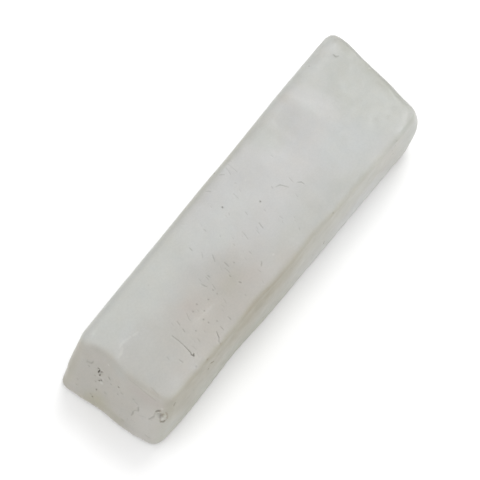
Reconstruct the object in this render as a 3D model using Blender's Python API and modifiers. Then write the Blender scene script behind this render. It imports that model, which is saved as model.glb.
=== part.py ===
"""A tumbled rose quartz point: one solid piece of crystal, lying on its broad flat face.

Sizes are written in metres with +Z up. The length runs along X with the pointed end at +X, the width runs
along Y, and the crystal rests on z = 0 with its origin under the middle of its box.
"""

import bmesh
import bpy
from mathutils import Vector

MM = 0.001

# Driving dimensions, in millimetres. Corners are (x, y), before the edges are worn round.
HEIGHT = 13.4
BASE_CORNERS = {
    ("butt", "right"): (-35.54, -10.44),
    ("tip", "right"): (33.96, -10.64),
    ("tip", "left"): (36.06, 11.06),
    ("butt", "left"): (-36.74, 9.76),
}
CROWN_CORNERS = {
    ("butt", "right"): (-30.45, -10.04),
    ("tip", "right"): (32.61, -10.94),
    ("tip", "left"): (36.31, 9.86),
    ("butt", "left"): (-31.35, 7.86),
}

# Flat facets that cut the block: a point on the facet, and the way that it faces.
FACETS = {
    "crown_slope": ((21.8, 2.9, HEIGHT), (0.062, 0.024, 0.998)),
    "under_tip": ((33.0, 0.0, 0.0), (0.93, -0.07, -0.36)),
}

# How far each worn edge is rounded, by the two sides that meet there.
WORN = {
    ("crown", "right"): 0.9,
    ("crown", "left"): 2.4,
    ("butt", "crown"): 0.8,
    ("crown", "tip"): 1.0,
    ("crown", "crown"): 1.4,
    ("butt", "right"): 2.4,
    ("butt", "left"): 3.2,
    ("right", "tip"): 2.6,
    ("left", "tip"): 2.0,
    ("base", "right"): 1.4,
    ("base", "left"): 1.6,
    ("base", "butt"): 1.5,
    ("base", "tip"): 1.6,
    ("right", "under"): 2.6,
    ("left", "under"): 2.4,
    ("base", "under"): 2.2,
    ("tip", "under"): 2.8,
}
WORN_MOST = max(WORN.values())
WORN_STEPS = 5

# Which way each side faces, to name the faces of the cut block.
FACING = {
    "crown": (0.0, 0.0, 1.0),
    "base": (0.0, 0.0, -1.0),
    "right": (0.0, -1.0, 0.0),
    "left": (0.0, 0.97, 0.24),
    "butt": (-0.94, 0.0, 0.34),
    "tip": (1.0, 0.0, 0.0),
    "under": (0.93, -0.07, -0.36),
}

# Shallow hollows and swellings, in millimetres: centre, reach, and how far the surface moves at the centre.
WEAR = (
    {"at": (-36.1, 1.2, 0.0), "reach": 4.6, "push": (0.38, 0.0, 0.0)},
    {"at": (-36.2, 6.6, 0.8), "reach": 3.4, "push": (0.19, 0.0, 0.0)},
    {"at": (-34.4, 9.2, 1.8), "reach": 3.2, "push": (0.0, -0.40, 0.0)},
    {"at": (-35.4, -9.1, 0.0), "reach": 4.0, "push": (0.30, 0.2, 0.0)},
    {"at": (-34.3, 8.9, 4.0), "reach": 9.0, "push": (0.0, -0.15, 0.0)},
    {"at": (-14.8, -10.2, 2.0), "reach": 8.0, "push": (0.0, 0.30, 0.0)},
    {"at": (-27.8, -10.2, 3.0), "reach": 7.0, "push": (0.0, -0.20, 0.0)},
    {"at": (-9.3, -9.6, 13.0), "reach": 5.0, "push": (0.0, 0.35, -0.12)},
    {"at": (5.2, -9.8, 13.0), "reach": 5.5, "push": (0.0, 0.25, -0.15)},
    {"at": (16.7, 4.9, 13.4), "reach": 6.5, "push": (0.0, 0.0, -0.35)},
    {"at": (-14.3, -2.6, 13.4), "reach": 9.0, "push": (0.0, 0.0, -0.28)},
    {"at": (3.2, 0.9, 13.4), "reach": 12.0, "push": (0.0, 0.0, 0.22)},
    {"at": (-33.3, 1.9, 8.0), "reach": 6.0, "push": (0.35, 0.0, -0.1)},
    {"at": (-30.9, 3.3, 13.3), "reach": 5.2, "push": (0.95, 0.0, -0.1)},
    {"at": (-31.2, 7.0, 12.9), "reach": 3.0, "push": (-0.50, 0.0, -0.25)},
    {"at": (9.2, 11.9, 6.0), "reach": 11.0, "push": (0.0, -0.30, 0.0)},
    {"at": (-20.8, 11.4, 5.0), "reach": 9.0, "push": (0.0, 0.20, 0.0)},
    {"at": (35.7, 9.4, 12.6), "reach": 3.0, "push": (-0.30, -0.15, 0.0)},
    {"at": (35.6, 5.6, 12.6), "reach": 3.0, "push": (0.14, 0.0, 0.0)},
    {"at": (32.9, -7.4, 12.8), "reach": 4.2, "push": (-0.28, 0.0, -0.05)},
    {"at": (33.6, -10.2, 6.0), "reach": 5.0, "push": (0.42, -0.15, 0.0)},
)

# Pits that were left open in the crystal: centre and radius.
PITS = (
    {"at": (-32.65, 2.6, 9.2), "radius": 0.7},
    {"at": (-33.05, 2.1, 7.8), "radius": 0.5},
    {"at": (-32.15, -9.25, 8.9), "radius": 0.9},
)

SLICE = {"X": 2.4, "Y": 1.5, "Z": 1.9}
SNAP = 0.35
SMOOTH_ANGLE = 0.6


def side_of(normal):
    """The name of the side whose facing is nearest to this normal."""
    return max(FACING, key=lambda side: normal.dot(Vector(FACING[side]).normalized()))


def shaped_block():
    """A cube whose eight corners are moved to the crystal's own."""
    block = bmesh.new()
    bmesh.ops.create_cube(block, size=1.0)
    for vert in block.verts:
        end = "tip" if vert.co.x > 0 else "butt"
        side = "left" if vert.co.y > 0 else "right"
        corners = CROWN_CORNERS if vert.co.z > 0 else BASE_CORNERS
        height = HEIGHT if vert.co.z > 0 else 0.0
        vert.co = Vector((*corners[end, side], height))
    return block


def cut_facet(block, point, facing):
    """Takes off what lies outside a plane, and closes the cut with a flat face."""
    everything = block.verts[:] + block.edges[:] + block.faces[:]
    cut = bmesh.ops.bisect_plane(
        block, geom=everything, dist=0.001, plane_co=point, plane_no=facing, clear_outer=True
    )
    rim = [part for part in cut["geom_cut"] if isinstance(part, bmesh.types.BMEdge)]
    bmesh.ops.edgeloop_fill(block, edges=rim)


def mark_worn_edges(block):
    """Writes each edge's rounding as a bevel weight. The crease between crown and crown slope stays crisp."""
    weight = block.edges.layers.float.new("bevel_weight_edge")
    for edge in block.edges:
        sides = tuple(sorted(side_of(face.normal) for face in edge.link_faces))
        edge[weight] = WORN.get(sides, 0.0) / WORN_MOST


def worn_mesh(block):
    """The block's mesh after its edges are rounded by a Bevel modifier."""
    sharp = bpy.data.meshes.new("sharp_block")
    block.to_mesh(sharp)
    block.free()
    holder = bpy.data.objects.new("sharp_block", sharp)
    bpy.context.scene.collection.objects.link(holder)
    bevel = holder.modifiers.new("worn_edges", "BEVEL")
    bevel.limit_method = "WEIGHT"
    bevel.width = WORN_MOST
    bevel.segments = WORN_STEPS
    bpy.context.view_layer.update()
    graph = bpy.context.evaluated_depsgraph_get()
    worn = bpy.data.meshes.new_from_object(holder.evaluated_get(graph))
    bpy.data.objects.remove(holder)
    bpy.data.meshes.remove(sharp)
    return worn


def slice_evenly(body):
    """Adds edges across the flat faces, so that they can take a gentle swell."""
    for axis, name in enumerate("XYZ"):
        places = [vert.co[axis] for vert in body.verts]
        pitch = SLICE[name]
        first = int(min(places) // pitch) + 1
        last = int(max(places) // pitch)
        for step in range(first, last + 1):
            point, facing = Vector(), Vector()
            point[axis] = step * pitch
            facing[axis] = 1.0
            everything = body.verts[:] + body.edges[:] + body.faces[:]
            bmesh.ops.bisect_plane(body, geom=everything, dist=SNAP, plane_co=point, plane_no=facing)


def wear_down(body):
    """Moves the surface by the hollows and swellings. What rests on the ground stays level."""
    for vert in body.verts:
        place = vert.co.copy()
        for mark in WEAR:
            share = (place - Vector(mark["at"])).length / mark["reach"]
            if share < 1.0:
                vert.co += Vector(mark["push"]) * (1.0 - share * share) ** 2
        if place.z < SNAP:
            vert.co.z = place.z


def open_pits(crystal, shift, cutters):
    """Sinks small round pits into the crystal with Boolean cuts."""
    for number, pit in enumerate(PITS):
        ball = bmesh.new()
        bmesh.ops.create_icosphere(ball, subdivisions=2, radius=pit["radius"] * MM)
        mesh = bpy.data.meshes.new(f"pit_{number}")
        ball.to_mesh(mesh)
        ball.free()
        cutter = bpy.data.objects.new(f"pit_{number}", mesh)
        cutter.location = (Vector(pit["at"]) + shift) * MM
        cutter.hide_render = True
        cutter.display_type = "WIRE"
        cutters.objects.link(cutter)
        cut = crystal.modifiers.new(cutter.name, "BOOLEAN")
        cut.operation = "DIFFERENCE"
        cut.object = cutter


def quartz_material():
    """Cloudy pale quartz, tumbled to a soft polish."""
    material = bpy.data.materials.new("cloudy_rose_quartz")
    material.use_nodes = True
    shader = material.node_tree.nodes["Principled BSDF"]
    shader.inputs["Base Color"].default_value = (0.62, 0.60, 0.56, 1.0)
    shader.inputs["Roughness"].default_value = 0.32
    shader.inputs["Metallic"].default_value = 0.0
    shader.inputs["IOR"].default_value = 1.544
    shader.inputs["Subsurface Weight"].default_value = 1.0
    shader.inputs["Subsurface Radius"].default_value = (0.004, 0.0036, 0.0032)
    return material


def make_crystal():
    block = shaped_block()
    for point, facing in FACETS.values():
        cut_facet(block, Vector(point), Vector(facing))
    bmesh.ops.recalc_face_normals(block, faces=block.faces)
    block.normal_update()
    mark_worn_edges(block)
    mesh = worn_mesh(block)

    body = bmesh.new()
    body.from_mesh(mesh)
    slice_evenly(body)
    wear_down(body)
    low = Vector([min(vert.co[axis] for vert in body.verts) for axis in range(3)])
    high = Vector([max(vert.co[axis] for vert in body.verts) for axis in range(3)])
    shift = -(low + high) / 2
    shift.z = -low.z
    bmesh.ops.translate(body, verts=body.verts, vec=shift)
    bmesh.ops.scale(body, verts=body.verts, vec=(MM, MM, MM))
    body.to_mesh(mesh)
    body.free()
    mesh.name = "quartz_point"
    mesh.shade_smooth()
    mesh.set_sharp_from_angle(angle=SMOOTH_ANGLE)
    mesh.materials.append(quartz_material())

    crystal = bpy.data.objects.new("quartz_point", mesh)
    return crystal, shift


def main():
    for thing in list(bpy.data.objects):
        bpy.data.objects.remove(thing, do_unlink=True)
    parts = bpy.data.collections.new("rose_quartz_point")
    cutters = bpy.data.collections.new("cutters")
    for collection in (parts, cutters):
        bpy.context.scene.collection.children.link(collection)
    crystal, shift = make_crystal()
    parts.objects.link(crystal)
    open_pits(crystal, shift, cutters)


main()
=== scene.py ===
import math
import random

import bmesh
import bpy
import numpy as np
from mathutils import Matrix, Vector, noise
from mathutils.bvhtree import BVHTree
from mathutils.geometry import intersect_point_line
from mathutils.kdtree import KDTree


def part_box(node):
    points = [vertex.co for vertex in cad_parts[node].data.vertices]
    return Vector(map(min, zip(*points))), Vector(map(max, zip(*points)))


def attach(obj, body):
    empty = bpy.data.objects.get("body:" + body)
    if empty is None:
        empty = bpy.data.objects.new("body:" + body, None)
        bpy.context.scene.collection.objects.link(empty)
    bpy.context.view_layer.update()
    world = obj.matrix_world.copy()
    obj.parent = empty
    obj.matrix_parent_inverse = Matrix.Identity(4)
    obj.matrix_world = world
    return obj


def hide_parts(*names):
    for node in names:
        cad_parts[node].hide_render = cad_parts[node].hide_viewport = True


mm = 0.001

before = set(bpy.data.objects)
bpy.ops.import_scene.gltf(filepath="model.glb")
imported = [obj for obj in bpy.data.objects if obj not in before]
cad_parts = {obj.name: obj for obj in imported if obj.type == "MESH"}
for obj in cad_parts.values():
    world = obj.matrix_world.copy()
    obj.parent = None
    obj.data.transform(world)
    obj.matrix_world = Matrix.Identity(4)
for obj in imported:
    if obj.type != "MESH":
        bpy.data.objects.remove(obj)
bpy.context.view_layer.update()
print("frame loaded")

# camera, lights and floor

view = {
    "elevation": 69.0,  # degrees above the ground
    "turn": 51.6,  # how far the crystal's length is turned from the picture's right, in degrees
    "distance": 300 * mm,
    "lens": 140.0,
    "film": 36.0,  # width of the film, in mm
    "nearest": 10 * mm,  # nothing closer than this is seen
    "target": Vector((-0.84, -0.14, 6.5)) * mm,
}


def addCamera():
    turn, rise = math.radians(view["turn"]), math.radians(view["elevation"])
    away = Vector((math.sin(turn), math.cos(turn), 0.0)) * math.cos(rise) - Vector((0, 0, math.sin(rise)))
    cameraData = bpy.data.cameras.new("camera")
    cameraData.lens = view["lens"]
    cameraData.sensor_width = view["film"]
    cameraData.clip_start = view["nearest"]
    camera = bpy.data.objects.new("camera", cameraData)
    camera.location = view["target"] - away * view["distance"]
    camera.rotation_euler = away.to_track_quat("-Z", "Y").to_euler()
    bpy.context.scene.collection.objects.link(camera)
    bpy.context.scene.camera = camera


studio = {
    "keyFrom": Vector((0.76, 0.13, 1.0)),  # where the main light stands, seen from the crystal
    "keyDistance": 0.6,  # in metres
    "keySize": 0.22,  # a wider light gives a softer shadow
    "keyPower": 1.14,
    "skyColor": (1.0, 1.0, 1.0, 1.0),
    "skyStrength": 1.0,
    "floorColor": (0.96, 0.96, 0.96, 1.0),
    "floorRoughness": 0.9,
    "floorSize": 1.6,
}


def addLights():
    lampData = bpy.data.lights.new("softbox", "AREA")
    lampData.shape = "DISK"
    lampData.size = studio["keySize"]
    lampData.energy = studio["keyPower"]
    lamp = bpy.data.objects.new("softbox", lampData)
    toLamp = studio["keyFrom"].normalized()
    lamp.location = toLamp * studio["keyDistance"]
    lamp.rotation_euler = toLamp.to_track_quat("Z", "Y").to_euler()
    bpy.context.scene.collection.objects.link(lamp)

    world = bpy.data.worlds.new("pale room")
    world.use_nodes = True
    sky = world.node_tree.nodes["Background"]
    sky.inputs["Color"].default_value = studio["skyColor"]
    sky.inputs["Strength"].default_value = studio["skyStrength"]
    bpy.context.scene.world = world
    bpy.context.scene.view_settings.view_transform = "Standard"


def addFloor():
    sheet = bmesh.new()
    bmesh.ops.create_grid(sheet, x_segments=1, y_segments=1, size=studio["floorSize"] / 2)
    mesh = bpy.data.meshes.new("floor")
    sheet.to_mesh(mesh)
    sheet.free()
    floor = bpy.data.objects.new("floor", mesh)
    bpy.context.scene.collection.objects.link(floor)
    paper = bpy.data.materials.new("white paper")
    paper.use_nodes = True
    shader = paper.node_tree.nodes["Principled BSDF"]
    shader.inputs["Base Color"].default_value = studio["floorColor"]
    shader.inputs["Roughness"].default_value = studio["floorRoughness"]
    mesh.materials.append(paper)


addCamera()
addLights()
addFloor()
print("camera, lights and floor placed")

# the crystal's body: an even fine skin over the solid, kept close to its shape

crystalForm = {
    "node": "quartz_point",
    "weld": 0.002 * mm,  # points closer than this become one
    "grain": 0.33 * mm,  # how far apart the points of the fine skin lie
    "smoothTimes": 8,
    "smoothIn": 0.5,
    "smoothOut": -0.52,  # gives back what the smoothing takes from the edges
    "bulgeAt": Vector((34.0, -9.0, 9.0)) * mm,  # the far right corner swells a little below its rim
    "bulgeReach": 6 * mm,
    "bulge": Vector((0.34, -0.1, 0)) * mm,
    "cornerAt": Vector((33.5, -9.8, 13.2)) * mm,  # its rim is worn rounder than the edges beside it
    "cornerReach": (5.2 * mm, 2.2 * mm),  # how far round it the first and the last smoothing go
    "cornerTimes": 26,
    "cornerWear": 0.5,
    "wave": 0.05 * mm,  # height of the shallow waves left by tumbling
    "waveLength": 5.0 * mm,
    "ripple": 0.012 * mm,
    "rippleLength": 1.1 * mm,
    "rippleShift": Vector((7, 3, 1)),  # takes the ripples from another part of the noise
    "groundFade": 0.9 * mm,  # the waves set in over this height, so the side it lies on keeps its shape
    "groundKept": 0.4,  # they start this share of it above the ground
}


def smoothSkin(body, verts, factor):
    allAxes = {"use_axis_x": True, "use_axis_y": True, "use_axis_z": True}
    bmesh.ops.smooth_vert(body, verts=verts, factor=factor, **allAxes)


def fineBody():
    solid = bmesh.new()
    solid.from_mesh(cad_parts[crystalForm["node"]].data)
    bmesh.ops.remove_doubles(solid, verts=solid.verts, dist=crystalForm["weld"])
    mesh = bpy.data.meshes.new("crystal blank")
    solid.to_mesh(mesh)
    solid.free()
    blank = bpy.data.objects.new("crystal blank", mesh)
    bpy.context.scene.collection.objects.link(blank)
    remesh = blank.modifiers.new("even grain", "REMESH")
    remesh.mode = "VOXEL"
    remesh.voxel_size = crystalForm["grain"]
    bpy.context.view_layer.update()
    graph = bpy.context.evaluated_depsgraph_get()
    fine = bpy.data.meshes.new_from_object(blank.evaluated_get(graph))
    bpy.data.objects.remove(blank)
    body = bmesh.new()
    body.from_mesh(fine)
    bpy.data.meshes.remove(fine)
    for _ in range(crystalForm["smoothTimes"]):
        smoothSkin(body, body.verts, crystalForm["smoothIn"])
        smoothSkin(body, body.verts, crystalForm["smoothOut"])
    body.normal_update()
    return body


def swellCorner(body):
    for vert in body.verts:
        share = (vert.co - crystalForm["bulgeAt"]).length / crystalForm["bulgeReach"]
        if share < 1.0:
            vert.co += crystalForm["bulge"] * (1.0 - share * share) ** 2


def roundCorner(body):
    far, near = crystalForm["cornerReach"]
    away = {vert: (vert.co - crystalForm["cornerAt"]).length for vert in body.verts}
    for step in range(crystalForm["cornerTimes"]):
        reach = far + (near - far) * step / crystalForm["cornerTimes"]
        worn = [vert for vert in body.verts if away[vert] < reach]
        smoothSkin(body, worn, crystalForm["cornerWear"])
    body.normal_update()


def tumble(body):
    for vert in body.verts:
        rise = vert.co.z / crystalForm["groundFade"] - crystalForm["groundKept"]
        hold = min(1.0, max(0.0, rise))
        wave = noise.noise(vert.co / crystalForm["waveLength"])
        ripple = noise.noise(vert.co / crystalForm["rippleLength"] + crystalForm["rippleShift"])
        vert.co += vert.normal * hold * (wave * crystalForm["wave"] + ripple * crystalForm["ripple"])
    body.normal_update()


body = fineBody()
swellCorner(body)
roundCorner(body)
tumble(body)
print("fine body made:", len(body.verts), "points")

# what fills a scar; the pale one also paints highlights and light into the shaded bowls of pits
inks = {
    "soot": Vector((0.058, 0.045, 0.018)),
    "rust": Vector((0.14, 0.085, 0.03)),
    "chalk_and_painted_light": Vector((0.6, 0.6, 0.57)),
}

# half: half of its width in mm. depth: in mm, and what stands out has a minus. share: how much ink is in it.
scarKinds = {
    "crack": {"half": 0.08, "depth": 0.12, "ink": "soot", "share": 0.36},
    "scratch": {"half": 0.11, "depth": 0.05, "ink": "soot", "share": 0.19},
    "faint": {"half": 0.12, "depth": 0.03, "ink": "soot", "share": 0.09},
    "pit": {"half": 0.14, "depth": 0.14, "ink": "soot", "share": 0.5},
    "shallow": {"half": 0.14, "depth": 0.06, "ink": "soot", "share": 0.22},
    "smudge": {"half": 0.26, "depth": 0.05, "ink": "soot", "share": 0.1},
    "deep": {"half": 0.11, "depth": 0.22, "ink": "soot", "share": 0.9},
    "fold": {"half": 0.16, "depth": 0.04, "ink": "soot", "share": 0.06},
    "mossy": {"half": 0.24, "depth": 0.12, "ink": "soot", "share": 0.54},
    "rusty": {"half": 0.17, "depth": 0.05, "ink": "rust", "share": 0.3},
    "amber": {"half": 0.16, "depth": 0.05, "ink": "rust", "share": 0.3},
    "pale_spot_and_painted_light": {"half": 0.26, "depth": -0.02, "ink": "chalk_and_painted_light", "share": 0.35},
    "fleck": {"half": 0.16, "depth": -0.01, "ink": "chalk_and_painted_light", "share": 0.35},
    "vein_and_highlight": {"half": 0.17, "depth": -0.01, "ink": "chalk_and_painted_light", "share": 0.1},
    "groove": {"half": 0.17, "depth": 0.08, "ink": "soot", "share": 0.2},
    "streak": {"half": 0.2, "depth": -0.01, "ink": "chalk_and_painted_light", "share": 0.3},
    "nick": {"half": 0.11, "depth": 0.12, "ink": "soot", "share": 0.72},
    "chip": {"half": 0.9, "depth": 0.16, "ink": "chalk_and_painted_light", "share": 0.04},
}

# Each scar is a chain of points in mm. Two numbers lie on the crown, three on the skin nearest to them.
scars = {
    "crack": (
        ((-21.9, -5.9), (-22.0, -6.8), (-22.1, -7.3), (-22.3, -7.7)),
        ((-17.0, -8.3), (-17.3, -8.8), (-17.5, -9.2), (-18.0, -9.6)),
    ),
    "scratch": (
        ((-33.0, -5.5, 7.3), (-33.3, -4.9, 6.6)),
        ((-32.0, -8.3, 9.4), (-32.4, -8.2, 8.5)),
        ((-21.8, -3.4), (-21.8, -4.1), (-21.8, -5.0), (-21.9, -5.9)),
        ((-18.0, -9.6), (-18.1, -9.9, 13.0)),
        ((-19.5, -2.5), (-19.7, -3.2)),
        ((-19.9, -4.0), (-20.1, -4.5)),
        ((-14.0, -8.2), (-14.1, -8.8)),
        ((-16.0, -8.3), (-16.1, -9.0)),
        ((-24.1, -6.7), (-24.1, -7.4)),
        ((1.1, -2.4), (0.8, -3.4)),
        ((-8.9, 3.6), (-9.0, 3.0)),
        ((-7.6, 0.0), (-8.2, -0.9)),
        ((-10.7, -1.4), (-10.7, -1.9)),
        ((-8.6, -4.1), (-8.6, -4.4)),
        ((-7.4, -2.2), (-7.5, -3.1)),
        ((-3.7, -6.7), (-4.3, -7.1)),
        ((7.6, -0.7), (8.3, -1.0), (8.8, -2.2)),
        ((10.4, -2.9), (10.8, -3.3), (10.8, -3.8)),
        ((-12.4, -1.6), (-12.2, -2.5)),
        ((32.2, 6.6), (32.1, 6.1), (32.5, 5.8)),
        ((3.7, 7.7, 13.3), (4.2, 7.1)),
        ((0.2, 7.6, 13.3), (0.6, 6.9)),
    ),
    "faint": (
        ((-19.7, -6.8), (-19.9, -7.3)),
        ((-17.6, -2.9), (-18.0, -3.5), (-18.1, -4.0)),
        ((1.2, 0.4), (1.0, -0.1)),
        ((-8.3, 1.6), (-8.9, 1.0)),
        ((-8.1, -2.9), (-8.2, -3.8)),
        ((-3.6, -4.1), (-3.7, -4.6)),
        ((2.5, 3.9), (2.3, 2.7)),
        ((-11.4, -3.0), (-11.7, -3.8)),
        ((-11.0, -1.4), (-11.2, -2.0)),
        ((4.0, 4.9), (4.2, 4.6)),
        ((-32.5, -4.5, 8.7), (-32.5, -5.0, 8.6), (-32.6, -5.4, 8.3)),
        ((-33.4, -5.7, 6.3), (-33.3, -6.2, 6.5), (-33.1, -7.0, 6.9)),
        ((-34.4, -4.3, 3.9), (-34.6, -4.3, 3.3)),
        ((-1.7, -1.2), (-1.8, -1.7), (-2.1, -2.7)),
    ),
    "pit": (
        ((-22.3, -7.6), (-22.2, -8.0), (-21.95, -7.8)),
        ((3.7, 8.7, 12.5),),
        ((-0.4, 3.8),),
        ((4.1, -0.3),),
        ((-20.9, -10.0, 10.7), (-20.2, -10.1, 9.9)),
        ((-21.5, -10.1, 9.2),),
        ((7.9, -10.5, 4.8), (7.7, -10.5, 4.3)),
        ((-34.1, 2.2, 5.3), (-34.1, 2.2, 5.1)),
        ((-34.9, 2.5, 3.1),),
        ((-33.1, 2.3, 7.3),),
        ((-32.9, 2.0),),
        ((-32.4, -1.2, 9.1),),
    ),
    "shallow": (
        ((-8.4, -6.3), (-8.5, -6.0)),
        ((-18.9, -5.7),),
        ((-16.7, -3.4),),
        ((-15.4, -3.1),),
        ((-16.7, -5.5),),
        ((-16.6, -6.4),),
        ((-15.5, -4.7),),
        ((-12.1, -4.5),),
        ((-15.6, -7.3),),
        ((-13.7, -4.0),),
        ((-6.5, -3.4),),
        ((-12.0, -3.6),),
        ((28.0, 8.4, 12.7),),
        ((-23.3, -9.4, 13.3),),
        ((-21.3, -9.8, 13.0),),
        ((9.9, -10.3, 13.0),),
        ((25.9, -10.8, 11.5),),
        ((26.2, -10.7, 12.8),),
        ((25.2, -10.8, 10.7),),
        ((25.8, -10.8, 8.3),),
        ((-32.6, 0.2, 8.4),),
        ((-32.2, 4.4, 9.8), (-31.9, 4.2, 10.4)),
        ((-32.6, 4.6, 9.1),),
        ((-34.5, 5.7, 4.9),),
        ((-35.0, 5.6, 3.5),),
        ((-33.4, 2.8, 6.7),),
        ((-34.8, 2.9, 3.5),),
        ((-32.9, 3.2, 7.8),),
        ((-33.0, -1.4, 7.4),),
        ((-32.4, -4.2, 9.0),),
    ),
    "smudge": (
        ((-33.7, 0.6, 5.7),),
        ((-32.7, -2.0, 8.4),),
        ((-34.5, -8.0, 2.8), (-34.5, -8.8, 2.6)),
        ((-34.9, -3.5, 2.8), (-34.9, -3.7, 2.6)),
        ((-32.3, 5.0, 9.9), (-32.1, 4.4, 10.0)),
    ),
    "deep": (
        ((-32.1, 2.8, 9.3), (-32.2, 2.9, 8.8), (-32.4, 2.9, 8.7)),
        ((-32.65, 2.55, 8.4), (-32.55, 2.45, 8.6)),
    ),
    "fold": (
        ((-31.1, -2.5, 12.7), (-31.1, -4.4, 12.5), (-31.1, -6.6, 12.2), (-31.0, -7.7, 12.1)),
        ((-30.2, -6.1), (-30.4, -7.7, 13.2)),
        ((6.5, 8.8, 12.3), (6.7, 7.7, 13.3)),
        ((6.0, 7.8, 13.3), (5.8, 5.8)),
        ((5.3, 7.6, 13.4), (4.8, 6.3)),
    ),
    "mossy": (
        ((-32.0, -8.4, 9.6), (-31.8, -8.6, 10.0), (-31.6, -8.7, 10.2)),
        ((-32.3, -9.5, 7.4), (-32.0, -9.7, 7.4), (-31.9, -9.8, 7.5)),
    ),
    "rusty": (
        ((-31.5, -8.9, 10.4), (-31.6, -9.0, 9.9)),
        ((-31.7, -9.0, 8.2), (-31.5, -9.1, 8.4), (-31.4, -9.5, 9.5)),
        ((-32.3, -9.5, 7.4),),
    ),
    "amber": (
        ((-31.6, -9.0, 9.9), (-31.7, -9.0, 8.2)),
        ((-31.1, -9.6, 9.9), (-31.1, -9.8, 9.2), (-31.2, -9.9, 8.5), (-31.4, -10.0, 7.9), (-31.9, -9.8, 7.5)),
        ((-31.9, -9.1), (-32.2, -9.3), (-32.3, -9.4, 7.6)),
    ),
    "groove": (
        ((-32.4, -8.3, 8.4), (-32.7, -8.0, 7.7), (-33.0, -7.7, 7.0)),
        ((-32.2, 0.9, 9.5), (-32.3, 0.6, 9.2)),
        ((-29.7, -10.1, 10.6), (-29.6, -10.1, 11.0), (-29.3, -10.1, 11.3)),
        ((-32.8, -5.4, 8.0), (-32.9, -5.5, 7.5), (-33.1, -5.5, 7.1)),
        ((-33.4, -4.8, 6.4), (-33.6, -4.8, 5.9), (-33.9, -4.7, 5.2)),
    ),
    "nick": (
        ((-32.1, 3.2, 9.6), (-32.1, 3.0, 9.7), (-32.1, 2.7, 9.6)),
        ((-32.0, 2.7, 9.3), (-32.0, 2.5, 9.3), (-32.2, 2.2, 9.5)),
        ((-32.1, 2.4, 8.9), (-32.2, 2.5, 9.1)),
    ),
    # pale islands in the pits, which also paint light into the shaded bowls of the pits
    "pale_spot_and_painted_light": (
        ((-31.9, -8.5, 8.5),),
        ((-31.9, -9.4),),
        ((-31.4, -9.6, 8.6),),
        ((-33.1, 1.8, 7.2),),
    ),
    "fleck": (
        ((-31.2, -9.0, 10.8),),
        ((-31.1, 1.7, 11.6),),
        ((-29.0, 6.3),),
        ((33.9, 0.5),),
        ((-1.6, -7.4),),
        ((5.5, 3.8),),
    ),
    "vein_and_highlight": (
        ((-17.8, -4.7), (-15.7, -5.0), (-13.7, -5.2)),
        # painted highlight along the near end's ridge
        ((-31.0, -5.1, 12.7), (-30.9, -6.8, 12.7), (-30.7, -8.3, 12.8)),
        # painted highlight along the far right corner's rounded edge
        ((32.0, -9.8), (30.8, -10.1), (30.0, -10.2), (28.9, -10.2), (27.8, -10.2)),
        ((-28.9, 6.4), (-28.2, 6.2)),
    ),
    "streak": (
        ((-29.4, 0.8), (-28.7, 1.0), (-28.1, 1.3)),
        ((-28.3, 1.7), (-27.5, 1.9), (-26.6, 1.6), (-25.9, 1.5)),
        ((-25.5, 1.3), (-24.6, 1.1)),
    ),
    # along the foot and at the far end
    "chip": (
        ((-21.0, 10.6, 0.4), (-19.6, 10.7, 0.5)),
        ((6.5, 10.9, 0.3),),
        ((27.0, 10.9, 0.8), (28.0, 10.9, 0.5)),
        ((35.4, -2.0, 4.6), (35.4, -3.0, 4.2)),
        ((33.4, -6.0, 0.4),),
        ((12.0, -10.7, 0.3), (13.0, -10.7, 0.4)),
    ),
}

# on the sides that face away
scars["crack"] += (
    ((-19.0, 10.4, 11.0), (-17.5, 10.8, 8.6), (-16.9, 11.0, 6.2), (-17.4, 11.0, 4.6)),
    ((14.0, 11.0, 7.4), (16.2, 11.0, 6.8), (18.9, 11.0, 6.9)),
    ((35.4, 3.6, 9.6), (35.8, 2.6, 7.8), (35.6, 2.2, 5.4)),
)
scars["vein_and_highlight"] += (
    ((-30.0, 10.0, 4.0), (-24.0, 10.4, 6.6), (-16.0, 10.8, 8.0), (-8.0, 10.9, 8.2)),
    ((2.0, 10.9, 3.0), (9.0, 11.0, 5.2), (17.0, 11.0, 5.6), (25.0, 11.0, 8.4)),
    ((35.0, -8.0, 4.0), (35.6, -3.0, 7.0), (35.6, 3.0, 8.0)),
)

# small specks: length, width and share of ink are drawn between two values
scatter = {
    "seed": 7,
    "length": (0.25, 0.75),
    "sway": 0.35,  # how far one may turn from the way that the others run
    "half": (0.06, 0.12),
    "share": (0.03, 0.12),
    "depth": 0.03,
    "ink": "soot",
    # how many, the two far corners of where they lie in mm, and which way they run
    "areas": (
        (40, Vector((-26, -9, 13.6)), Vector((12, 5.5, 13.6)), Vector((-0.3, -0.95, 0))),
        (44, Vector((-36.5, -9, 1.2)), Vector((-33.5, 7, 11.5)), Vector((0, 0, 0))),
        (14, Vector((-33.6, -2.6, 7.0)), Vector((-32.2, 1.4, 9.2)), Vector((0, 0, 0))),
        (22, Vector((-32, -11, 2)), Vector((31, -11, 12)), Vector((0.3, 0, -0.8))),
        (40, Vector((-33, 11, 1.5)), Vector((33, 11, 11.5)), Vector((0.5, 0, 0.7))),
        (20, Vector((36.5, -9, 3)), Vector((36.5, 9, 12)), Vector((0, 0.6, 0.6))),
        (24, Vector((-33, -9, 0)), Vector((32, 9, 0)), Vector((0.7, 0.4, 0))),
    ),
}

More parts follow.
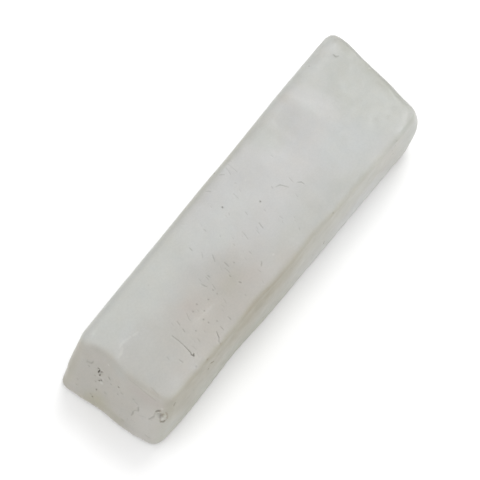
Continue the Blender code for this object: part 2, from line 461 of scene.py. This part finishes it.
# how a scar is cut and inked
scarCut = {
    "above": 30.0,  # a height over the crown, in mm
    "margins": (0.45, 0.2),  # how far around a scar the skin is made finer, first and second time, in mm
    "search": 2.2,  # the furthest that a scar can spread, in half widths
    "stain": 1.5,  # how far its ink spreads, in half widths
    "bowl": 1.5,  # a higher value leaves gentler rims
    "width": 0.8,  # at its ends, as a share of its width
    "widthMiddle": 0.3,  # wider by this much in the middle
    "widthNoise": 0.4,
    "widthNoiseLength": 0.22 * mm,
    "widthLeast": 0.4,
    "tone": 0.8,  # how dark its ends are, as a share of its ink
    "toneMiddle": 0.2,
    "toneNoise": 0.35,
    "toneNoiseLength": 0.5 * mm,
}


def onSkin(tree, point):
    if len(point) == 2:
        start = Vector((point[0], point[1], scarCut["above"])) * mm
        return tree.ray_cast(start, Vector((0, 0, -1)))[0]
    return tree.find_nearest(Vector(point) * mm)[0]


def collectScars(body):
    tree = BVHTree.FromBMesh(body)
    found = []
    for kind, chains in scars.items():
        look = scarKinds[kind]
        for chain in chains:
            places = [onSkin(tree, point) for point in chain]
            found.append({**look, "places": places})
    draw = random.Random(scatter["seed"])
    for count, low, high, lean in scatter["areas"]:
        for _ in range(count):
            start = Vector([draw.uniform(low[axis], high[axis]) for axis in range(3)])
            sway = Vector([draw.uniform(-1.0, 1.0) for _ in range(3)]) * scatter["sway"]
            end = start + (lean + sway) * draw.uniform(*scatter["length"])
            found.append({
                "half": draw.uniform(*scatter["half"]),
                "depth": scatter["depth"],
                "ink": scatter["ink"],
                "share": draw.uniform(*scatter["share"]),
                "places": [onSkin(tree, start), onSkin(tree, end)],
            })
    return found


def samplesOf(places, gap):
    for start, end in zip(places, places[1:] or places):
        count = max(1, math.ceil((end - start).length / gap))
        for number in range(count + 1):
            yield start.lerp(end, number / count)


def pointsNear(tree, places, reach):
    near = set()
    for sample in samplesOf(places, reach / 2):
        near.update(index for _, index, _ in tree.find_range(sample, reach))
    return near


def treeOf(body):
    body.verts.ensure_lookup_table()
    tree = KDTree(len(body.verts))
    for vert in body.verts:
        tree.insert(vert.co, vert.index)
    tree.balance()
    return tree


def refineNear(body, found, margin):
    body.verts.index_update()
    tree = treeOf(body)
    near = set()
    for scar in found:
        near |= pointsNear(tree, scar["places"], (scar["half"] + margin) * mm)
    edges = [edge for edge in body.edges if all(vert.index in near for vert in edge.verts)]
    bmesh.ops.subdivide_edges(body, edges=edges, cuts=1, use_grid_fill=True)
    body.verts.index_update()


def closest(place, places):
    # how far a point is from the chain, and where along it: 0 at either end and 1 in the middle
    best, along = (place - places[0]).length, 0.0
    count = len(places) - 1
    for number in range(count):
        start, end = places[number], places[number + 1]
        share = min(1.0, max(0.0, intersect_point_line(place, start, end)[1]))
        away = (place - start.lerp(end, share)).length
        if away < best:
            best, along = away, (number + share) / count
    return best, 1.0 - abs(2.0 * along - 1.0) if count else 1.0


def cutScars(body, found):
    layers = {ink: body.verts.layers.float.new(ink) for ink in inks}
    tree = treeOf(body)
    body.normal_update()
    moves = {}
    for scar in found:
        half = scar["half"] * mm
        layer = layers[scar["ink"]]
        for index in pointsNear(tree, scar["places"], half * scarCut["search"]):
            vert = body.verts[index]
            away, middle = closest(vert.co, scar["places"])
            grit = noise.noise(vert.co / scarCut["widthNoiseLength"])
            width = scarCut["width"] + scarCut["widthMiddle"] * middle + scarCut["widthNoise"] * grit
            share = away / (half * max(scarCut["widthLeast"], width))
            if share < scarCut["stain"]:
                grit = noise.noise(vert.co / scarCut["toneNoiseLength"])
                fade = scarCut["tone"] + scarCut["toneNoise"] * grit + scarCut["toneMiddle"] * middle
                depth = max(0.0, 1.0 - share * share) ** scarCut["bowl"] * scar["depth"] * mm
                color = max(0.0, 1.0 - (share / scarCut["stain"]) ** 2) * min(1.0, fade) * scar["share"]
                moves[index] = max(moves.get(index, 0.0), depth, key=abs)
                vert[layer] = max(vert[layer], color)
    for index, depth in moves.items():
        body.verts[index].co -= body.verts[index].normal * depth
    body.normal_update()


found = collectScars(body)
for margin in scarCut["margins"]:
    refineNear(body, found, margin)
cutScars(body, found)
print("scars cut:", len(found), "scars,", len(body.verts), "points")

# the colours of the stone, painted on the skin; each side is darker than the crown, and painted shade and
# painted highlights lie along rims, edges, corners, the crease and the foot

tones_and_painted_light = {
    "milk": (0.478, 0.477, 0.467),
    "mist": (0.476, 0.484, 0.456),
    "haze_and_shade": (0.411, 0.419, 0.392),
    "dusk": (0.436, 0.432, 0.405),
    "rose": (0.426, 0.405, 0.371),
    "blush": (0.43, 0.385, 0.36),
    "olive": (0.35, 0.34, 0.285),
    "ochre": (0.355, 0.335, 0.245),
    "ice": (0.45, 0.462, 0.45),
    "rim_shade_grey": (0.385, 0.392, 0.372),
    "frost": (0.5, 0.506, 0.492),
    "cream": (0.46, 0.446, 0.414),
    "clay": (0.423, 0.407, 0.37),
    "bark_and_shade": (0.322, 0.302, 0.244),
    "edge_band_shade": (0.272, 0.24, 0.168),
    "moss": (0.378, 0.38, 0.327),
    "tip_rim_shade": (0.315, 0.315, 0.294),
    "lichen": (0.418, 0.414, 0.374),
}

# each side's direction, and how squarely the skin has to face it to begin and to finish taking its colours
facing = {
    "any": (Vector((0, 0, 1)), -3.0, -2.0),
    "crown": (Vector((0.02, 0.01, 1)), 0.52, 0.8),
    "end": (Vector((-0.94, -0.03, 0.34)), 0.52, 0.8),
    "right": (Vector((0, -1, 0.05)), 0.52, 0.8),
    "left": (Vector((0, 0.97, 0.24)), 0.52, 0.8),
    "tip": (Vector((1, 0, 0.1)), 0.52, 0.8),
    "base": (Vector((0, 0, -1)), 0.52, 0.8),
    # edge, corner and brink pick out the crown's right edge, the rounded near left corner and the tip's upper
    # edge, where painted shade is laid
    "edge": (Vector((0, -0.7, 0.7)), 0.8, 0.93),
    "corner": (Vector((-0.75, 0.62, 0.2)), 0.8, 0.96),
    "brink": (Vector((0.7, 0, 0.7)), 0.74, 0.93),
}

# pigment, side, centre in mm, reach in mm, strength, softness
patches = (
    ("mist", "crown", (-19, 5, 13), (17, 6, 9), 0.8, 0.5),
    ("dusk", "crown", (-25, -3.6, 13), (14, 6.4, 9), 0.85, 0.6),
    ("dusk", "crown", (-13, -4, 13), (15, 8.5, 9), 0.8, 0.9),
    ("rose", "crown", (-13.5, -6.5, 13), (16, 7.8, 9), 0.9, 0.8),
    ("dusk", "crown", (3, -8.5, 13), (9, 3.4, 9), 0.75, 0.6),
    ("haze_and_shade", "crown", (9, -6.8, 13), (14, 5.5, 9), 0.42, 0.8),
    ("frost", "crown", (-2, 2.5, 13), (10, 5, 9), 0.8, 0.8),
    ("ice", "crown", (23, -5, 13), (9, 6, 9), 0.8, 0.5),
    ("moss", "crown", (16.5, 6, 13), (3.2, 3.6, 9), 0.2, 0.5),
    # painted shade: the crown darker towards the tip, which slopes towards the lamp
    ("haze_and_shade", "crown", (31, -1, 13), (8.5, 11.5, 9), 1.0, 0.5),
    ("haze_and_shade", "crown", (26, 7, 13), (3.5, 4, 9), 0.6, 0.8),
    ("haze_and_shade", "crown", (16, -9.2, 13), (9, 2.4, 9), 0.7, 0.8),
    ("rose", "crown", (-1, -9.2, 13), (5, 2.0, 9), 0.5, 0.8),
    ("haze_and_shade", "crown", (13.5, 5.5, 13), (3, 4, 9), 0.8, 0.8),
    ("haze_and_shade", "crown", (29, -8, 13), (6, 4, 9), 0.7, 0.8),
    ("cream", "crown", (20.9, 7.6, 13), (1.0, 1.8, 9), 0.8, 0.8),
    ("frost", "crown", (-26.5, 1.6, 13), (2.2, 0.8, 9), 0.7, 0.9),
    ("frost", "crown", (-28.6, 1.4, 13), (1.3, 1.0, 9), 0.7, 0.9),
    # painted highlight along the shallow crease across the crown near the tip
    ("frost", "crown", (21.7, 4.2, 13), (1.5, 4.0, 9), 0.9, 0.8),
    ("frost", "crown", (22.6, -2.5, 13), (2.4, 6.0, 9), 0.4, 0.8),
    ("olive", "crown", (-9.7, -5.0, 13), (3.6, 1.3, 9), 0.4, 0.8),
    ("cream", "crown", (-27.0, -8.6, 13), (6.0, 2.2, 9), 0.8, 0.7),
    ("frost", "crown", (-28.5, -8.9, 13), (2.6, 1.5, 9), 0.5, 0.5),
    ("cream", "crown", (-20.5, -9.2, 13), (3.4, 2.2, 9), 0.6, 0.8),
    ("blush", "crown", (-16.5, -2.8, 13), (3.4, 1.6, 9), 0.4, 0.8),
    ("blush", "crown", (-6.0, -6.6, 13), (2.6, 2.4, 9), 0.2, 0.8),
    ("blush", "crown", (20.2, 8.2, 13), (1.1, 0.8, 9), 0.8, 0.8),
    ("mist", "crown", (-4.6, 0.4, 13), (3.0, 1.8, 9), 0.6, 0.8),
    ("rose", "crown", (-7.0, -2.6, 13), (2.4, 2.0, 9), 0.25, 0.8),
    ("cream", "crown", (-16.0, -5.0, 13), (3.4, 0.9, 9), 0.6, 0.8),
    # painted shade: a darker band along the crown's rim at the tip, where the rounded edge faces the lamp
    ("moss", "crown", (35.2, 6, 13), (2.0, 4, 9), 0.9, 0.9),
    ("moss", "crown", (34.2, 0, 13), (2.0, 5, 9), 0.9, 0.9),
    ("moss", "crown", (33.3, -5.5, 13), (2.0, 5, 9), 0.9, 0.9),
    ("ice", "crown", (33.7, 7.6, 13), (1.3, 1.3, 9), 0.8, 0.7),
    ("clay", "end", (-34, 0, 6), (12, 30, 30), 1.0, 0.3),
    # painted shade on the end face just below the crown's near edge
    ("rim_shade_grey", "end", (-31.2, 0.4, 12.2), (3, 3.4, 2.2), 0.45, 0.8),
    # painted light: the end lightened below its worn rim and along its foot, against the shade there
    ("cream", "end", (-31.3, 4.4, 11.2), (3, 2.6, 2.4), 0.7, 0.8),
    ("cream", "end", (-35, -3, 3.4), (9, 5.5, 1.8), 0.4, 0.8),
    ("blush", "end", (-31.6, -5.8, 11.2), (3, 4.2, 2.0), 0.5, 0.8),
    ("ochre", "end", (-35, 2.0, 2.9), (9, 3.2, 3.2), 0.7, 0.9),
    ("ochre", "end", (-35, -1.6, 1.6), (9, 4.0, 2.0), 0.4, 0.9),
    ("ochre", "any", (-30.7, -9.9, 9.2), (1.6, 1.4, 2.6), 0.6, 0.8),
    ("ochre", "any", (-31.8, -10.1, 6.5), (1.0, 1.0, 1.4), 0.3, 0.8),
    ("cream", "end", (-34, -7.4, 4), (9, 4.2, 7), 1.0, 0.6),
    ("lichen", "right", (0, -10, 6), (60, 30, 30), 1.0, 0.3),
    ("moss", "right", (-16, -10, 2), (24, 9, 7), 0.8, 0.7),
    # painted shade: a dark band along the right side just below the crown's edge
    ("bark_and_shade", "right", (-15, -10, 12), (25, 9, 9), 0.8, 0.7),
    ("edge_band_shade", "right", (-8, -10, 11.6), (14, 9, 3.6), 0.6, 0.8),
    ("edge_band_shade", "edge", (-13, -10, 13), (7, 9, 9), 0.12, 0.8),
    ("clay", "edge", (-25, -10, 13), (7, 9, 9), 0.8, 0.8),
    ("bark_and_shade", "right", (-24, -10, 12), (10, 9, 3.6), 1.0, 0.8),
    ("bark_and_shade", "right", (6, -10, 12.5), (16, 9, 4.0), 0.42, 0.7),
    ("bark_and_shade", "right", (-28, -10, 9), (6, 9, 8), 0.55, 0.8),
    ("bark_and_shade", "right", (-12.5, -10, 6), (3.6, 9, 4), 0.35, 0.8),
    # painted light along the foot of the right side, where light from the floor comes through
    ("frost", "right", (15, -10, 1.5), (20, 9, 6), 0.95, 0.8),
    ("rose", "right", (23.5, -10, 5), (2.0, 9, 2.6), 0.6, 0.8),
    ("rose", "right", (24.5, -10, 10), (4, 9, 4), 0.5, 0.8),
    # painted shade on the right side near the far right corner
    ("haze_and_shade", "right", (32, -10, 8), (6, 9, 12), 0.8, 0.6),
    ("moss", "right", (8.3, -10, 3.6), (2.8, 9, 3.2), 0.35, 0.8),
    # more painted light low on the right side
    ("frost", "right", (19, -10, 4), (4, 9, 4), 0.6, 0.8),
    # painted shade over the far right corner's rim, against its highlight
    ("haze_and_shade", "edge", (29, -10, 13), (8, 9, 9), 0.8, 0.6),
    ("haze_and_shade", "any", (32.5, -10, 13), (3.5, 3, 3.5), 0.3, 0.6),
    ("dusk", "left", (0, 10, 8), (60, 9, 30), 0.9, 0.3),
    # painted shade along the left rim
    ("rim_shade_grey", "left", (0, 9.5, 13.4), (60, 9, 4.5), 0.9, 0.5),
    ("bark_and_shade", "left", (3, 9.5, 13), (18, 9, 3.0), 0.3, 0.6),
    ("rose", "left", (-12, 10, 7), (12, 9, 5), 0.7, 0.7),
    ("frost", "left", (16, 10, 5), (11, 9, 5), 0.6, 0.7),
    ("dusk", "tip", (35, 0, 8), (9, 30, 30), 0.6, 0.3),
    # painted shade along the top of the tip face
    ("tip_rim_shade", "tip", (35, 0, 13.2), (9, 30, 3.4), 0.9, 0.7),
    ("rose", "tip", (35, 4, 5), (9, 5, 4), 0.5, 0.8),
    # painted shade on the rounded near left corner, where it catches more light than the end face
    ("bark_and_shade", "corner", (-33, 8, 7), (9, 9, 30), 0.75, 0.5),
    # painted shade on the tip's upper edge, which faces the lamp
    ("tip_rim_shade", "brink", (35, 2, 13), (9, 12, 9), 0.9, 0.6),
    ("dusk", "base", (0, 0, 0), (60, 60, 9), 0.9, 0.3),
    ("rose", "base", (-10, 0, 0), (16, 8, 9), 0.8, 0.6),
    ("clay", "base", (18, -3, 0), (9, 6, 9), 0.7, 0.6),
)

paint = {
    "base": "milk",
    "warp": 1.3,  # how far the edges of a patch wander, in mm
    "warpLength": 4.5,
    "fine": 0.4,
    "fineLength": 0.9,
    "fineShift": Vector((5, 9, 2)),  # takes the fine wander from another part of the noise
    "softenTimes": 8,
}


def ramp(value, low, high):
    share = min(1.0, max(0.0, (value - low) / (high - low)))
    return share * share * (3.0 - 2.0 * share)


def colorsWithPaintedLight(body):
    base = Vector(tones_and_painted_light[paint["base"]])
    colors = []
    for vert in body.verts:
        place = vert.co / mm
        broad = noise.noise_vector(place / paint["warpLength"]) * paint["warp"]
        fine = noise.noise_vector(place / paint["fineLength"] + paint["fineShift"]) * paint["fine"]
        place = place + broad + fine
        color = base.copy()
        looks = {}
        for side, (way, low, high) in facing.items():
            looks[side] = ramp(vert.normal.dot(way.normalized()), low, high)
        for pigment, side, centre, reach, strength, soft in patches:
            look = looks[side]
            if look > 0.0:
                away = Vector([(place[axis] - centre[axis]) / reach[axis] for axis in range(3)]).length
                share = ramp(1.0 - away, 0.0, soft) * strength * look
                color = color.lerp(Vector(tones_and_painted_light[pigment]), share)
        colors.append(color)
    return np.array(colors)


def softened(body, colors):
    ends = np.array([[vert.index for vert in edge.verts] for edge in body.edges])
    neighbours = np.bincount(ends.ravel(), minlength=len(colors))[:, None]
    for _ in range(paint["softenTimes"]):
        total = colors.copy()
        np.add.at(total, ends[:, 0], colors[ends[:, 1]])
        np.add.at(total, ends[:, 1], colors[ends[:, 0]])
        colors = total / (neighbours + 1)
    return colors


def paintStoneAndLight(body):
    stone = body.verts.layers.float_color.new("stone")
    layers = {ink: body.verts.layers.float[ink] for ink in inks}
    for vert, mix in zip(body.verts, softened(body, colorsWithPaintedLight(body))):
        color = Vector(mix)
        for ink, layer in layers.items():
            color = color.lerp(inks[ink], min(1.0, vert[layer]))
        vert[stone] = (*color, 1.0)


paintStoneAndLight(body)
print("stone painted")

# milky quartz

quartz = {
    "ior": 1.544,
    "scatter": 1.0,
    "reach": (1.6, 1.6, 1.5),  # how far light wanders inside, in mm, for red, green and blue
    "noiseSpan": (0.3, 0.7),  # nearly all of a noise's values lie between these
    # each noise has the size of its clouds and how many finer ones are in them
    "veilNoise": (3.2 * mm, 5.0),
    "veil": (0.98, 1.02),
    "grainNoise": (0.3 * mm, 2.0),
    "grain": (0.975, 1.025),
    "tintNoise": (2.4 * mm, 3.0),
    "coolTint": (0.993, 1.0, 1.008, 1.0),
    "warmTint": (1.008, 0.999, 0.988, 1.0),
    "polishNoise": (1.7 * mm, 4.0),
    "polish": (0.34, 0.46),  # roughness, from the best polished places to the dull ones
    "scarDull": 0.3,
    "frostNoise": (0.14 * mm, 3.0),
    "frostHeight": 0.004 * mm,
}


def addNoise(tree, length, detail):
    coords = tree.nodes.get("place") or tree.nodes.new("ShaderNodeTexCoord")
    coords.name = "place"
    field = tree.nodes.new("ShaderNodeTexNoise")
    field.inputs["Scale"].default_value = 1.0 / length
    field.inputs["Detail"].default_value = detail
    tree.links.new(coords.outputs["Object"], field.inputs["Vector"])
    return field.outputs["Fac"]


def addSpan(tree, value, low, high):
    span = tree.nodes.new("ShaderNodeMapRange")
    span.inputs["From Min"].default_value, span.inputs["From Max"].default_value = quartz["noiseSpan"]
    span.inputs["To Min"].default_value = low
    span.inputs["To Max"].default_value = high
    tree.links.new(value, span.inputs["Value"])
    return span.outputs["Result"]


def addBlend(tree, kind, factor, first, second):
    blend = tree.nodes.new("ShaderNodeMix")
    blend.data_type = "RGBA"
    blend.blend_type = kind
    blend.clamp_result = False
    # a blend of colours has its factor in socket 0, its colours in 6 and 7, and its result in 2
    for socket, value in ((blend.inputs[0], factor), (blend.inputs[6], first), (blend.inputs[7], second)):
        if isinstance(value, (float, tuple)):
            socket.default_value = value
        else:
            tree.links.new(value, socket)
    return blend.outputs[2]


def addScale(tree, color, value):
    scale = tree.nodes.new("ShaderNodeVectorMath")
    scale.operation = "SCALE"
    tree.links.new(color, scale.inputs[0])
    tree.links.new(value, scale.inputs["Scale"])
    return scale.outputs["Vector"]


def addLayer(tree, name, output):
    layer = tree.nodes.new("ShaderNodeAttribute")
    layer.attribute_name = name
    return layer.outputs[output]


def milkyQuartz():
    material = bpy.data.materials.new("milky quartz")
    material.use_nodes = True
    tree = material.node_tree
    shader = tree.nodes["Principled BSDF"]
    shader.inputs["IOR"].default_value = quartz["ior"]
    shader.inputs["Subsurface Weight"].default_value = quartz["scatter"]
    shader.inputs["Subsurface Radius"].default_value = quartz["reach"]
    shader.inputs["Subsurface Scale"].default_value = mm

    color = addLayer(tree, "stone", "Color")
    veil = addSpan(tree, addNoise(tree, *quartz["veilNoise"]), *quartz["veil"])
    grain = addSpan(tree, addNoise(tree, *quartz["grainNoise"]), *quartz["grain"])
    color = addScale(tree, addScale(tree, color, veil), grain)
    warmth = addSpan(tree, addNoise(tree, *quartz["tintNoise"]), 0.0, 1.0)
    tint = addBlend(tree, "MIX", warmth, quartz["coolTint"], quartz["warmTint"])
    color = addBlend(tree, "MULTIPLY", 1.0, color, tint)
    tree.links.new(color, shader.inputs["Base Color"])

    dull = tree.nodes.new("ShaderNodeMath")
    dull.operation = "MULTIPLY_ADD"
    dull.inputs[1].default_value = quartz["scarDull"]
    tree.links.new(addLayer(tree, "soot", "Fac"), dull.inputs[0])
    polish = addSpan(tree, addNoise(tree, *quartz["polishNoise"]), *quartz["polish"])
    tree.links.new(polish, dull.inputs[2])
    tree.links.new(dull.outputs["Value"], shader.inputs["Roughness"])

    frost = tree.nodes.new("ShaderNodeBump")
    frost.inputs["Distance"].default_value = quartz["frostHeight"]
    tree.links.new(addNoise(tree, *quartz["frostNoise"]), frost.inputs["Height"])
    tree.links.new(frost.outputs["Normal"], shader.inputs["Normal"])
    return material


# the finished crystal
def finishCrystal(body, material):
    low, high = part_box(crystalForm["node"])  # no point goes past the solid's box
    for vert in body.verts:
        for axis in range(3):
            vert.co[axis] = min(max(vert.co[axis], low[axis]), high[axis])
    mesh = bpy.data.meshes.new("crystal")
    body.to_mesh(mesh)
    body.free()
    mesh.shade_smooth()
    mesh.materials.append(material)
    crystal = bpy.data.objects.new("crystal", mesh)
    bpy.context.scene.collection.objects.link(crystal)
    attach(crystal, "root")
    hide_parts(crystalForm["node"])
    return crystal


crystal = finishCrystal(body, milkyQuartz())
print("crystal finished:", len(crystal.data.polygons), "faces")
